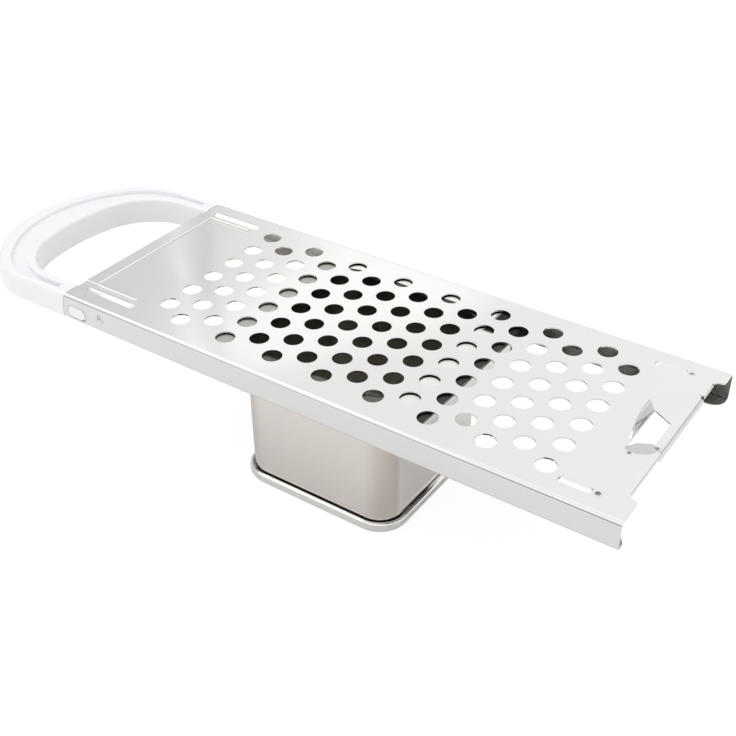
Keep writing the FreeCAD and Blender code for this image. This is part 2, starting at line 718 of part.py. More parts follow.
side = new_sketch(handle, "HandleSide", "XZ_Plane")
heel = "(-Sizes.rail_depth - Sizes.heel_drop)"
polygon(side, (
    (f"{shoulder} - Sizes.rail_rake * (1 + Sizes.heel_drop / Sizes.rail_depth)", heel),
    (shoulder, "0"),
    (reach, "-Sizes.handle_droop"),
    (reach, "-Sizes.handle_droop - Sizes.tip_thickness"),
))
pad(handle, side, "HandleBlank", "Sizes.plate_width", both=True)

outside = new_sketch(handle, "OutlineSketch", "XY_Plane")
first, last = bow(outside, reach, HALF_WIDTH, f"{HALF_WIDTH} * Sizes.tip_curve",
                  f"{HALF_WIDTH} * Sizes.corner_curve", f"{OVER}")
join(outside, last, 2, first, 1)
rectangle(outside, f"{reach} - {OVER}", f"-{HALF_WIDTH} - {OVER}",
          f"{OVER} * 2", f"{HALF_WIDTH} + {OVER}")
pocket(handle, outside, "OutlineCut", "Sizes.plate_width", both=True)

tip = number(reach)
gap = number("Sizes.shoulder_gap")
heel_level = number(heel)


def rim_edges(upper, outer):
    """Test for the edges round the upper or lower face of the loop."""
    slope = number("Sizes.handle_droop") / (number("Sizes.handle_reach") - gap)
    lower_tip = number("Sizes.handle_droop") + number("Sizes.tip_thickness")
    heel_x = number(f"{shoulder} - Sizes.rail_rake * (1 + Sizes.heel_drop / Sizes.rail_depth)")
    lower_slope = (lower_tip + heel_level) / (heel_x - tip)

    def test(box):
        middle = (box.XMin + box.XMax) / 2
        if box.XMax > heel_x - 0.01 and box.XLength < number("Sizes.rail_rake") + 1:
            return False
        if upper:
            level = (middle + gap) * slope
        else:
            level = heel_level + (middle - heel_x) * lower_slope
        on_face = abs((box.ZMin + box.ZMax) / 2 - level) < 0.2 and box.ZLength < 4
        wide_out = max(abs(box.YMin), abs(box.YMax)) > half - 0.01
        at_tip = is_near(box.XMin, tip)
        return on_face and (wide_out or at_tip) == outer

    return test


def inner_rim(upper):
    """Test for the edges round the opening, on the upper or lower face of the loop."""
    on_rim = rim_edges(upper, False)

    def test(box):
        runs = box.XLength > 1 or box.YLength > 20
        return on_rim(box) and runs and box.XMax < tip + number("Sizes.handle_reach")

    return test


fillet(handle, "TopOuterRound", "Sizes.top_round", rim_edges(True, True))
fillet(handle, "LowOuterRound", "Sizes.outer_round", rim_edges(False, True))

opening = new_sketch(handle, "OpeningSketch", "XY_Plane")
opening_half = "(Sizes.plate_width / 2 - Sizes.arm_width)"
opening_end = "(Sizes.grip_width - Sizes.handle_reach)"
opening_tip_radius = f"({opening_half} * Sizes.opening_tip_curve)"
opening_corner_radius = f"({opening_half} * Sizes.opening_corner_curve)"
first, last = bow(opening, opening_end, opening_half, opening_tip_radius,
                  opening_corner_radius, f"{OVER}")
join(opening, last, 2, first, 1)
pocket(handle, opening, "Opening", "Sizes.plate_width", both=True)
fillet(handle, "TopInnerRound", "Sizes.inner_round", inner_rim(True))
fillet(handle, "LowInnerRound", "Sizes.inner_round", inner_rim(False))

recess = new_sketch(handle, "RecessSketch", "XY_Plane")
outer_half = "(Sizes.plate_width / 2 - Sizes.recess_outer_wall)"
outer_tip = "(Sizes.recess_tip_wall - Sizes.handle_reach)"
inner_half = f"({opening_half} + Sizes.recess_inner_wall)"
inner_tip = f"({opening_end} - Sizes.recess_inner_wall)"
recess_at = "-Sizes.recess_end"
first, last = bow(recess, outer_tip, outer_half, f"{outer_half} * Sizes.recess_tip_curve",
                  f"{outer_half} * Sizes.recess_corner_curve", recess_at)
inner_first, inner_last = bow(recess, inner_tip, inner_half,
                              f"({opening_tip_radius} + Sizes.recess_inner_wall)",
                              f"({opening_corner_radius} + Sizes.recess_inner_wall)", recess_at)
join(recess, first, 1, inner_first, 1)
join(recess, last, 2, inner_last, 2)
pocket(handle, recess, "Recess", "Sizes.recess_depth")

tenon = new_sketch(handle, "TenonSketch", "YZ_Plane", f"-Sizes.shoulder_gap - Sizes.rail_rake - {OVER}")
tenon_in = "(Sizes.plate_width / 2 - Sizes.rail_lip + Sizes.tenon_gap)"
tenon_out = "(Sizes.plate_width / 2 - Sizes.sheet - Sizes.tenon_gap)"
tenon_low = "(-Sizes.rail_depth + Sizes.sheet + Sizes.tenon_gap)"
tenon_high = "(-Sizes.sheet - Sizes.tenon_gap)"
rounded(tenon, (
    (tenon_in, tenon_low, None),
    (tenon_out, tenon_low, "Sizes.bend_radius"),
    (tenon_out, tenon_high, "Sizes.bend_radius"),
    (tenon_in, tenon_high, None),
))
rounded(tenon, (
    (f"-{tenon_out}", tenon_low, "Sizes.bend_radius"),
    (f"-{tenon_in}", tenon_low, None),
    (f"-{tenon_in}", tenon_high, None),
    (f"-{tenon_out}", tenon_high, "Sizes.bend_radius"),
))
pad(handle, tenon, "Tenons",
    f"Sizes.tenon_length + Sizes.shoulder_gap + Sizes.rail_rake + {OVER}")

lug = new_sketch(handle, "LugSketch", "XZ_Plane", HALF_WIDTH)
lug_round = "(Sizes.slot_width * 0.49 - Sizes.lug_gap)"
lug_left = "(Sizes.slot_start + Sizes.lug_gap)"
lug_right = "(Sizes.slot_start + Sizes.slot_length - Sizes.lug_short)"
lug_low = "(-Sizes.slot_drop - Sizes.slot_width / 2 + Sizes.lug_gap)"
lug_high = "(-Sizes.slot_drop + Sizes.slot_width / 2 - Sizes.lug_gap)"
rounded(lug, (
    (lug_left, lug_low, lug_round),
    (lug_right, lug_low, lug_round),
    (lug_right, lug_high, lug_round),
    (lug_left, lug_high, lug_round),
))
near_lug = pad(handle, lug, "NearLug", "Sizes.sheet + Sizes.tenon_gap + 1", reverse=True)
mirror(handle, "FarLug", [near_lug])

# --- slide_plate: shallow tray that runs between the rails ------------------------------
HOPPER_AT = f"{PLATE_AT} + Sizes.hopper_station"
slide = new_body("slide_plate", HOPPER_AT)

tray = new_sketch(slide, "TraySketch", "XY_Plane", f"-{SLIDE_TOP}")
rounded(tray, (
    ("-Sizes.slide_back", f"-{SLIDE_HALF}", "Sizes.slide_corner"),
    ("Sizes.slide_front", f"-{SLIDE_HALF}", "Sizes.slide_corner"),
    ("Sizes.slide_front", SLIDE_HALF, "Sizes.slide_corner"),
    ("-Sizes.slide_back", SLIDE_HALF, "Sizes.slide_corner"),
))
pad(slide, tray, "TrayBlank", f"{SLIDE_BOTTOM} - {SLIDE_TOP}", reverse=True)
inside = new_sketch(slide, "TrayInside", "XY_Plane", f"-{SLIDE_BOTTOM}")
inside_half = f"({SLIDE_HALF} - Sizes.slide_sheet)"
inside_corner = "(Sizes.slide_corner - Sizes.slide_sheet)"
rounded(inside, (
    ("-Sizes.slide_back + Sizes.slide_sheet", f"-{inside_half}", inside_corner),
    ("Sizes.slide_front - Sizes.slide_sheet", f"-{inside_half}", inside_corner),
    ("Sizes.slide_front - Sizes.slide_sheet", inside_half, inside_corner),
    ("-Sizes.slide_back + Sizes.slide_sheet", inside_half, inside_corner),
))
pocket(slide, inside, "TrayHollow", f"{SLIDE_BOTTOM} - {SLIDE_UNDER}", reverse=True)
slide_under = -number(SLIDE_UNDER)
fillet(slide, "TrayInnerRound", "Sizes.slide_round - Sizes.slide_sheet",
       lambda box: is_near(box.ZMin, slide_under) and is_near(box.ZMax, slide_under))
slide_top = -number(SLIDE_TOP)
fillet(slide, "TrayRound", "Sizes.slide_round",
       lambda box: is_near(box.ZMin, slide_top) and is_near(box.ZMax, slide_top))

mouth = new_sketch(slide, "MouthSketch", "XY_Plane")
rounded_square(mouth, "(Sizes.box_width / 2 - Sizes.box_wall + Sizes.mouth_draw)",
               "(Sizes.box_corner - Sizes.box_wall + Sizes.mouth_draw)")
pocket(slide, mouth, "Mouth", "Sizes.rail_depth")

# --- hopper_box: open square box with a rolled rim --------------------------------------
box_body = new_body("hopper_box", HOPPER_AT)
inner_half_box = "(Sizes.box_width / 2 - Sizes.box_wall)"
inner_corner_box = "(Sizes.box_corner - Sizes.box_wall)"

walls = new_sketch(box_body, "WallSketch", "XY_Plane", f"-{SLIDE_UNDER}")
rounded_square(walls, "(Sizes.box_width / 2)", "Sizes.box_corner")
rounded_square(walls, inner_half_box, inner_corner_box)
pad(box_body, walls, "Walls", f"Sizes.stand_height - {SLIDE_UNDER}", reverse=True)

rim = new_sketch(box_body, "RimSketch", "XY_Plane", "-Sizes.stand_height")
rounded_square(rim, "(Sizes.box_width / 2 + Sizes.rim_out)", "(Sizes.box_corner + Sizes.rim_out)")
rounded_square(rim, inner_half_box, inner_corner_box)
pad(box_body, rim, "Rim", "Sizes.rim_height")
rim_half = number("Sizes.box_width / 2 + Sizes.rim_out")
rim_low = -number("Sizes.stand_height")
rim_high = rim_low + number("Sizes.rim_height")
wall_half = number("Sizes.box_width / 2")


def rim_edge(box):
    """Whether an edge lies on the outer side of the rim, above or below."""
    level = box.ZLength < 1e-4 and (is_near(box.ZMin, rim_low) or is_near(box.ZMin, rim_high))
    far = max(abs(box.XMin), abs(box.XMax), abs(box.YMin), abs(box.YMax))
    return level and is_near(far, rim_half)


fillet(box_body, "RimRounds", "(Sizes.rim_out - Sizes.rim_groove) * 0.9", rim_edge)

groove = new_sketch(box_body, "RimGrooveSketch", "XY_Plane", "Sizes.rim_height - Sizes.stand_height")
rounded_square(groove, "(Sizes.box_width / 2 + Sizes.rim_groove)",
               "(Sizes.box_corner + Sizes.rim_groove)")
rounded_square(groove, "(Sizes.box_width / 2)", "Sizes.box_corner")
pocket(box_body, groove, "RimGroove", "Sizes.rim_groove_depth")

foot = new_sketch(box_body, "FootSketch", "XY_Plane", f"-{SLIDE_UNDER}")
rounded_square(foot, "(Sizes.box_width / 2 + Sizes.foot_out)",
               "(Sizes.box_corner + Sizes.foot_out)")
rounded_square(foot, inner_half_box, inner_corner_box)
pad(box_body, foot, "Foot", "Sizes.box_wall", reverse=True)
foot_top = -number(SLIDE_UNDER)
foot_inner = number(inner_half_box)


def mouth_edge(box):
    """Whether an edge lies round the inside of the foot's upper face."""
    level = box.ZLength < 1e-4 and is_near(box.ZMin, foot_top)
    far = max(abs(box.XMin), abs(box.XMax), abs(box.YMin), abs(box.YMax))
    return level and far < foot_inner + 0.01


fillet(box_body, "MouthRound", "Sizes.box_wall * 1.4", mouth_edge)

# --- checks and export ------------------------------------------------------------------
doc.recompute()
pieces = (plate, handle, slide, box_body)
for item in doc.Objects:
    if "Invalid" in item.State or "Error" in item.State:
        raise RuntimeError(f"{item.Name} failed: {item.State}")
for piece in pieces:
    if piece.Shape.isNull() or not piece.Shape.isValid():
        raise RuntimeError(f"{piece.Label} has no valid shape")
    if len(piece.Shape.Solids) != 1:
        raise RuntimeError(f"{piece.Label} isn't one solid")

os.makedirs("parts", exist_ok=True)
for piece in pieces:
    piece.Shape.exportStep(f"parts/{piece.Label}.step")
    box = piece.Shape.BoundBox
    print(f"{piece.Label}: {piece.Shape.Volume:.0f} mm3, "
          f"x {box.XMin:.2f}..{box.XMax:.2f}, y {box.YMin:.2f}..{box.YMax:.2f}, "
          f"z {box.ZMin:.2f}..{box.ZMax:.2f}")
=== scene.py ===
"""Spaetzle maker on a pale floor: finishes for its four pieces, the light and the camera.

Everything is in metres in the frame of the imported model: X runs along the plate from the
handle to the hooked end, Z points up and the hopper's rim stands on the floor.
"""
from __future__ import annotations

import logging
import math
from dataclasses import dataclass, field
from enum import Enum
from typing import Any

import bpy
from mathutils import Matrix, Vector


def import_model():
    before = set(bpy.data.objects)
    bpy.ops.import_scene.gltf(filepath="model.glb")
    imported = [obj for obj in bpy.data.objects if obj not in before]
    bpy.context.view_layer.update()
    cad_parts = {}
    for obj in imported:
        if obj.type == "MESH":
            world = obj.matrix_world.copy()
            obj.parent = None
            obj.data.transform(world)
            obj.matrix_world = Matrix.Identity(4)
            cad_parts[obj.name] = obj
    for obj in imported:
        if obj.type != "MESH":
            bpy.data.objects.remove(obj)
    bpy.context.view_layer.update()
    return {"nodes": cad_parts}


LOG = logging.getLogger("spaetzle_maker")
MM = 0.001
WHITE = (1.0, 1.0, 1.0, 1.0)

# Sockets of a Mix node by number, since it has several of each name.
SHARE, NUMBER_A, NUMBER_B, COLOUR_A, COLOUR_B = 0, 2, 3, 6, 7
MIXED_COLOUR = 2

# Most values of a noise texture lie between these two.
NOISE_LOW, NOISE_HIGH = 0.3, 0.7

# How finely each noise is broken up: lines, waves and patches on steel, then the shrink and
# the skin of plastic.
GRAIN_DETAIL = {"Detail": 3.0, "Roughness": 0.6}
WAVE_DETAIL = {"Detail": 1.0, "Roughness": 0.4}
PATCH_DETAIL = {"Detail": 4.0, "Roughness": 0.55}
SHRINK_DETAIL = {"Detail": 1.0}
SKIN_DETAIL = {"Detail": 2.0}

# Limits of a region along X, Y and Z, in mm.
Limits = tuple[float | None, float | None, float | None]
OPEN: Limits = (None, None, None)


# --- colours and nodes --------------------------------------------------------------------
def linear(code: str) -> tuple[float, float, float, float]:
    """Turn an sRGB hex colour into linear values.

    Args:
        code: Colour such as "#D2D1CE".

    Returns:
        Red, green, blue and a full alpha, linear.
    """
    values = []
    for place in (1, 3, 5):
        part = int(code[place:place + 2], 16) / 255
        values.append(part / 12.92 if part <= 0.04045 else ((part + 0.055) / 1.055) ** 2.4)
    return (values[0], values[1], values[2], 1.0)


def add_node(tree: bpy.types.NodeTree, kind: str, inputs: dict[Any, Any] | None = None,
             **settings: Any) -> bpy.types.Node:
    """Add a node with its settings, values and links.

    Args:
        tree: Node tree that gets the node.
        kind: Blender's name of the node type.
        inputs: A value, or an output socket to link, for each input by name or number.
        settings: Properties of the node itself.

    Returns:
        The new node.
    """
    made = tree.nodes.new(kind)
    for key, value in settings.items():
        setattr(made, key, value)
    for key, value in (inputs or {}).items():
        if isinstance(value, bpy.types.NodeSocket):
            tree.links.new(value, made.inputs[key])
        else:
            made.inputs[key].default_value = value
    return made


def new_material(name: str) -> tuple[bpy.types.Material, bpy.types.NodeTree]:
    """Make an empty node material.

    Args:
        name: Name of the material.

    Returns:
        The material and its node tree.
    """
    material = bpy.data.materials.new(name)
    material.use_nodes = True
    material.node_tree.nodes.clear()
    return material, material.node_tree


def dress(node: bpy.types.Object, material: bpy.types.Material) -> None:
    """Put one material in every slot of a node's object.

    Args:
        node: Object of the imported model.
        material: Material that it gets.
    """
    if not node.material_slots:
        node.data.materials.append(material)
    for slot in node.material_slots:
        slot.material = material


# --- finishes -----------------------------------------------------------------------------
@dataclass(frozen=True)
class Region:
    """A box in a node's own coordinates, in mm, open on every side that is None."""

    low: Limits
    high: Limits
    soft: float = 0.05

    def build(self, tree: bpy.types.NodeTree,
              place: bpy.types.NodeSocket) -> bpy.types.NodeSocket:
        """Make the number that is one inside the box and zero outside.

        Args:
            tree: Node tree that gets the nodes.
            place: The node's own coordinates.

        Returns:
            The socket that carries the number.
        """
        parts = add_node(tree, "ShaderNodeSeparateXYZ", {0: place})
        inside = None
        for axis in range(3):
            for edge, sign in ((self.low[axis], 1.0), (self.high[axis], -1.0)):
                if edge is None:
                    continue
                step = add_node(tree, "ShaderNodeMapRange", {
                    "Value": parts.outputs[axis],
                    "From Min": (edge - sign * self.soft) * MM,
                    "From Max": (edge + sign * self.soft) * MM})
                if inside is None:
                    inside = step
                else:
                    inside = add_node(tree, "ShaderNodeMath", {
                        0: inside.outputs[0], 1: step.outputs[0]}, operation="MULTIPLY")
        return inside.outputs[0]


@dataclass(frozen=True)
class InwardFaces:
    """The faces inside a region that look towards an upright middle line.

    Where along is true the line is a plane along X instead, as for the walls of a channel.
    A face looks inward when its normal's share towards the middle is over the least share.
    """

    middle: tuple[float, float]
    region: Region
    along: bool = False
    least: float = 0.2

    def build(self, tree: bpy.types.NodeTree,
              place: bpy.types.NodeSocket) -> bpy.types.NodeSocket:
        """Make the number that is one on those faces and zero elsewhere.

        Args:
            tree: Node tree that gets the nodes.
            place: The node's own coordinates.

        Returns:
            The socket that carries the number.
        """
        out = add_node(tree, "ShaderNodeVectorMath", {
            0: place, 1: (self.middle[0] * MM, self.middle[1] * MM, 0.0)},
            operation="SUBTRACT")
        flat = add_node(tree, "ShaderNodeVectorMath", {
            0: out.outputs[0], 1: (0.0 if self.along else 1.0, 1.0, 0.0)},
            operation="MULTIPLY")
        unit = add_node(tree, "ShaderNodeVectorMath", {0: flat.outputs[0]},
                        operation="NORMALIZE")
        normal = add_node(tree, "ShaderNodeNewGeometry").outputs["True Normal"]
        facing = add_node(tree, "ShaderNodeVectorMath", {0: unit.outputs[0], 1: normal},
                          operation="DOT_PRODUCT")
        inward = add_node(tree, "ShaderNodeMath", {
            0: facing.outputs["Value"], 1: -self.least}, operation="LESS_THAN")
        return add_node(tree, "ShaderNodeMath", {
            0: inward.outputs[0], 1: self.region.build(tree, place)},
            operation="MULTIPLY").outputs[0]


@dataclass(frozen=True)
class PaintedLightPatch:
    """A region of a steel piece with another roughness and a colour that paints shade or light
    on it.
    """

    region: Region | InwardFaces
    colour: str
    roughness: float


class Grain(Enum):
    """Direction in which a sheet was rolled or a wall was drawn."""

    ALONG = (0.02, 1.0, 1.0)
    UPRIGHT = (1.0, 1.0, 0.03)


@dataclass(frozen=True)
class SteelFinish:
    """Stainless steel sheet, cold rolled, then pressed.

    Fine rolling lines stretch the highlights a little, the sheet's slow waves bend what it
    mirrors, and handling leaves soft patches that are less bright.
    """

    name: str
    colour: str
    patch_colour: str
    roughness: float
    roughness_spread: float
    grain: Grain
    grain_mm: float
    grain_depth_mm: float
    wave_mm: float
    wave_depth_mm: float
    patch_mm: float
    regions: tuple[PaintedLightPatch, ...] = ()

    def build(self) -> bpy.types.Material:
        """Make the material.

        Returns:
            The steel material.
        """
        material, tree = new_material(self.name)
        place = add_node(tree, "ShaderNodeTexCoord").outputs["Object"]
        lines = add_node(tree, "ShaderNodeMapping", {"Vector": place, "Scale": self.grain.value})
        # rolling lines, drawn coarser than real ones so that they still show
        grain = add_node(tree, "ShaderNodeTexNoise", {
            "Vector": lines.outputs[0], "Scale": 1 / (self.grain_mm * MM), **GRAIN_DETAIL})
        waves = add_node(tree, "ShaderNodeTexNoise", {
            "Vector": place, "Scale": 1 / (self.wave_mm * MM), **WAVE_DETAIL})
        patches = add_node(tree, "ShaderNodeTexNoise", {
            "Vector": place, "Scale": 1 / (self.patch_mm * MM), **PATCH_DETAIL})
        spread = add_node(tree, "ShaderNodeMapRange", {
            "Value": patches.outputs["Fac"], "From Min": NOISE_LOW, "From Max": NOISE_HIGH,
            "To Min": self.roughness - self.roughness_spread,
            "To Max": self.roughness + self.roughness_spread})
        streaks = add_node(tree, "ShaderNodeMapRange", {
            "Value": grain.outputs["Fac"], "From Min": NOISE_LOW, "From Max": NOISE_HIGH,
            "To Min": -self.roughness_spread / 2, "To Max": self.roughness_spread / 2})
        rough = add_node(tree, "ShaderNodeMath", {
            0: spread.outputs[0], 1: streaks.outputs[0]}, operation="ADD", use_clamp=True)
        colour = add_node(tree, "ShaderNodeMix", {
            SHARE: patches.outputs["Fac"], COLOUR_A: linear(self.colour),
            COLOUR_B: linear(self.patch_colour)}, data_type="RGBA")
        # each region paints its shade or light into the colour and sets its own roughness
        for painted_patch in self.regions:
            inside = painted_patch.region.build(tree, place)
            colour = add_node(tree, "ShaderNodeMix", {
                SHARE: inside, COLOUR_A: colour.outputs[MIXED_COLOUR],
                COLOUR_B: linear(painted_patch.colour)}, data_type="RGBA")
            rough = add_node(tree, "ShaderNodeMix", {
                SHARE: inside, NUMBER_A: rough.outputs[0], NUMBER_B: painted_patch.roughness})
        slow = add_node(tree, "ShaderNodeBump", {
            "Height": waves.outputs["Fac"], "Strength": 1.0,
            "Distance": self.wave_depth_mm * MM})
        fine = add_node(tree, "ShaderNodeBump", {
            "Height": grain.outputs["Fac"], "Strength": 1.0,
            "Distance": self.grain_depth_mm * MM, "Normal": slow.outputs[0]})
        shader = add_node(tree, "ShaderNodeBsdfPrincipled", {
            "Base Color": colour.outputs[MIXED_COLOUR], "Metallic": 1.0,
            "Roughness": rough.outputs[0], "Normal": fine.outputs[0]})
        add_node(tree, "ShaderNodeOutputMaterial", {"Surface": shader.outputs[0]})
        return material


@dataclass(frozen=True)
class MouldedFinish:
    """White ABS, injection moulded against a polished die.

    It is glossy and a little milky, and its skin has the faint uneven shrink of a thick
    moulding, so that highlights on it are soft at their edges.
    """

    name: str
    colour: str
    shade_colour: str
    gloss_roughness: float
    dull_roughness: float
    ior: float
    shrink_mm: float
    shrink_depth_mm: float
    skin_mm: float
    skin_depth_mm: float
    milk: float
    milk_mm: float

    def build(self) -> bpy.types.Material:
        """Make the material.

        Returns:
            The plastic material.
        """
        material, tree = new_material(self.name)
        place = add_node(tree, "ShaderNodeTexCoord").outputs["Object"]
        shrink = add_node(tree, "ShaderNodeTexNoise", {
            "Vector": place, "Scale": 1 / (self.shrink_mm * MM), **SHRINK_DETAIL})
        skin = add_node(tree, "ShaderNodeTexNoise", {
            "Vector": place, "Scale": 1 / (self.skin_mm * MM), **SKIN_DETAIL})
        colour = add_node(tree, "ShaderNodeMix", {
            SHARE: shrink.outputs["Fac"], COLOUR_A: linear(self.colour),
            COLOUR_B: linear(self.shade_colour)}, data_type="RGBA")
        rough = add_node(tree, "ShaderNodeMapRange", {
            "Value": skin.outputs["Fac"], "From Min": NOISE_LOW, "From Max": NOISE_HIGH,
            "To Min": self.gloss_roughness, "To Max": self.dull_roughness})
        slow = add_node(tree, "ShaderNodeBump", {
            "Height": shrink.outputs["Fac"], "Strength": 1.0,
            "Distance": self.shrink_depth_mm * MM})
        fine = add_node(tree, "ShaderNodeBump", {
            "Height": skin.outputs["Fac"], "Strength": 1.0,
            "Distance": self.skin_depth_mm * MM, "Normal": slow.outputs[0]})
        depth = self.milk_mm * MM
        shader = add_node(tree, "ShaderNodeBsdfPrincipled", {
            "Base Color": colour.outputs[MIXED_COLOUR], "Roughness": rough.outputs[0],
            "IOR": self.ior, "Subsurface Weight": self.milk,
            "Subsurface Radius": (depth, depth, depth), "Subsurface Scale": 1.0,
            "Normal": fine.outputs[0]})
        add_node(tree, "ShaderNodeOutputMaterial", {"Surface": shader.outputs[0]})
        return material


# Middles of the plate and of the hopper, seen from above, and the levels of the plate's dots.
PLATE_MIDDLE = (0.0, 0.0)
HOPPER_MIDDLE = (26.2, 0.0)
DOT_FLOOR, DOT_MOUTH = 66.4, 66.86

# Inside of the rails: painted shade, a darker grey, rougher than the sheet. The pressed stops
# and the end lip stay bright.
RAIL_INSIDE_PAINTED_SHADE = PaintedLightPatch(
    InwardFaces(PLATE_MIDDLE, Region((-66.0, None, None), (None, None, 66.2)), along=True),
    "#7C7A75", 0.3)

# The same walls get paler by degrees towards the handle, where their painted shade gives way to
# a pale grey.
RAIL_BACK_SHADE_FADE = PaintedLightPatch(
    InwardFaces(PLATE_MIDDLE, Region(OPEN, (0.0, None, None), 60.0), along=True),
    "#E6E3DD", 0.3)

# Under side of the face between the rails: painted shade in the same way, darker and rougher.
FACE_UNDER_PAINTED_SHADE = PaintedLightPatch(Region((None, -47.5, 66.25), (152.0, 47.5, 66.32)), "#8A8781", 0.42)

# The blind dots by the two short ribs and by the window get painted shade, darkest at the near
# dot.
NEAR_DOT_PAINTED_SHADE = PaintedLightPatch(
    Region((146.0, -42.2, DOT_FLOOR), (149.2, -39.2, DOT_MOUTH)), "#9A9893", 0.5)
FAR_DOT_PAINTED_SHADE = PaintedLightPatch(
    Region((146.0, 39.2, DOT_FLOOR), (149.2, 42.2, DOT_MOUTH)), "#CBC9C5", 0.5)
WINDOW_DOT_PAINTED_SHADE = PaintedLightPatch(
    Region((146.0, -16.8, DOT_FLOOR), (148.3, -14.4, DOT_MOUTH)), "#BDBBB7", 0.5)

# Inside of the drawn box: painted shade, a rougher grey where the closed box is in shade.
BOX_INSIDE_PAINTED_SHADE = PaintedLightPatch(
    InwardFaces(HOPPER_MIDDLE, Region((None, None, 1.0), OPEN)), "#BDB8AC", 0.5)

# The same walls get darker upwards with more painted shade, and the turned mouth above them has
# the darkest painted shade.
BOX_MOUTH_PAINTED_SHADE = PaintedLightPatch(
    InwardFaces(HOPPER_MIDDLE, Region((None, None, 40.0), OPEN, 24.0)), "#6B6860", 0.5)
BOX_TURN_PAINTED_SHADE = PaintedLightPatch(Region((None, None, 61.5), OPEN, 1.0), "#5F5C55", 0.5)

# The two drawn corners on the hooked end's side get a painted darker reflection, the dullest of
# the outer faces, and the wall between them gets a painted bright reflection, the brightest.
BOX_CORNER_PAINTED_SHADE = PaintedLightPatch(Region((54.0, None, 5.0), (62.0, None, 61.0), 3.0), "#D0C8BF", 0.24)
BOX_SIDE_PAINTED_LIGHT = PaintedLightPatch(Region((62.0, None, 5.0), OPEN, 0.2), "#F7F3EE", 0.2)

# The rolled rim is smoother, and its paler colour is a painted highlight.
BOX_RIM_PAINTED_HIGHLIGHT = PaintedLightPatch(Region(OPEN, (None, None, 4.4)), "#F1EFED", 0.13)

# The tray's strip towards the handle gets a painted grey reflection, and the strip beside its
# mouth on the near side gets a darker painted shade.
TRAY_BACK_PAINTED_REFLECTION = PaintedLightPatch(Region(OPEN, (-11.0, None, None), 1.5), "#B5B2AD", 0.35)
TRAY_NEAR_PAINTED_SHADE = PaintedLightPatch(Region((-11.0, None, None), (64.0, -34.0, None), 1.5), "#6C6963", 0.5)

# The tray's front edge and its far front corner get the darkest painted shade.
TRAY_FRONT_PAINTED_SHADE = PaintedLightPatch(Region((75.2, None, 64.9), (79.3, None, None), 0.3), "#44423E", 0.4)
TRAY_FAR_CORNER_PAINTED_SHADE = PaintedLightPatch(Region((66.5, 25.0, 60.0), OPEN, 0.8), "#2E2C29", 0.5)

# Bright annealed sheet: nearly a mirror, greyer where it was handled.
PLATE_STEEL = SteelFinish(
    name="stainless_sheet_bright_annealed", colour="#E3E3E2", patch_colour="#DFDFDE",
    roughness=0.08, roughness_spread=0.02, grain=Grain.ALONG, grain_mm=0.9,
    grain_depth_mm=0.001, wave_mm=60.0, wave_depth_mm=0.35, patch_mm=24.0,
    regions=(RAIL_INSIDE_PAINTED_SHADE, RAIL_BACK_SHADE_FADE, FACE_UNDER_PAINTED_SHADE, NEAR_DOT_PAINTED_SHADE, FAR_DOT_PAINTED_SHADE, WINDOW_DOT_PAINTED_SHADE))

# Deep drawn sheet: satin, with soft streaks that run up its walls, and a warmer grey.
HOPPER_STEEL = SteelFinish(
    name="stainless_box_deep_drawn", colour="#E8E2DD", patch_colour="#E3DCD7",
    roughness=0.2, roughness_spread=0.03, grain=Grain.UPRIGHT, grain_mm=2.4,
    grain_depth_mm=0.0008, wave_mm=34.0, wave_depth_mm=0.5, patch_mm=22.0,
    regions=(BOX_CORNER_PAINTED_SHADE, BOX_SIDE_PAINTED_LIGHT, BOX_INSIDE_PAINTED_SHADE, BOX_MOUTH_PAINTED_SHADE, BOX_TURN_PAINTED_SHADE, BOX_RIM_PAINTED_HIGHLIGHT))

# Stamped tray: bright sheet with the streaks that it gets as it runs between the rails.
SLIDE_STEEL = SteelFinish(
    name="stainless_tray_stamped", colour="#ECEAE7", patch_colour="#DCDAD6",
    roughness=0.16, roughness_spread=0.05, grain=Grain.ALONG, grain_mm=1.2,
    grain_depth_mm=0.003, wave_mm=40.0, wave_depth_mm=0.25, patch_mm=15.0,
    regions=(TRAY_BACK_PAINTED_REFLECTION, TRAY_NEAR_PAINTED_SHADE, TRAY_FRONT_PAINTED_SHADE, TRAY_FAR_CORNER_PAINTED_SHADE))

# Glossy white ABS: its gloss varies with the die, and light sinks about a millimetre in.
HANDLE_PLASTIC = MouldedFinish(
    name="abs_injection_moulded_white", colour="#F8F7FA", shade_colour="#F4F4F8",
    gloss_roughness=0.18, dull_roughness=0.27, ior=1.53, shrink_mm=26.0,
    shrink_depth_mm=0.1, skin_mm=5.0, skin_depth_mm=0.002, milk=0.15, milk_mm=1.2)


# --- sub-assemblies -----------------------------------------------------------------------
@dataclass
class PlateAssembly:
    """The grater plate and the loop handle that is pushed into its rails."""

    plate_node: str = "grater_plate"
    handle_node: str = "handle"
    steel: SteelFinish = PLATE_STEEL
    plastic: MouldedFinish = HANDLE_PLASTIC

    def build(self, nodes: dict[str, bpy.types.Object]) -> None:
        """Dress the plate and the handle.

        Args:
            nodes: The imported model's objects by name.
        """
        dress(nodes[self.plate_node], self.steel.build())
        LOG.info("dressed %s in %s", self.plate_node, self.steel.name)
        dress(nodes[self.handle_node], self.plastic.build())
        LOG.info("dressed %s in %s", self.handle_node, self.plastic.name)


@dataclass
class HopperAssembly:
    """The dough hopper: a tray that slides in the rails and the box under it."""

    tray_node: str = "slide_plate"
    box_node: str = "hopper_box"
    tray_steel: SteelFinish = SLIDE_STEEL
    box_steel: SteelFinish = HOPPER_STEEL

    def build(self, nodes: dict[str, bpy.types.Object]) -> None:
        """Dress the tray and the box.

        Args:
            nodes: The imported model's objects by name.
        """
        dress(nodes[self.tray_node], self.tray_steel.build())
        LOG.info("dressed %s in %s", self.tray_node, self.tray_steel.name)
        dress(nodes[self.box_node], self.box_steel.build())
        LOG.info("dressed %s in %s", self.box_node, self.box_steel.name)


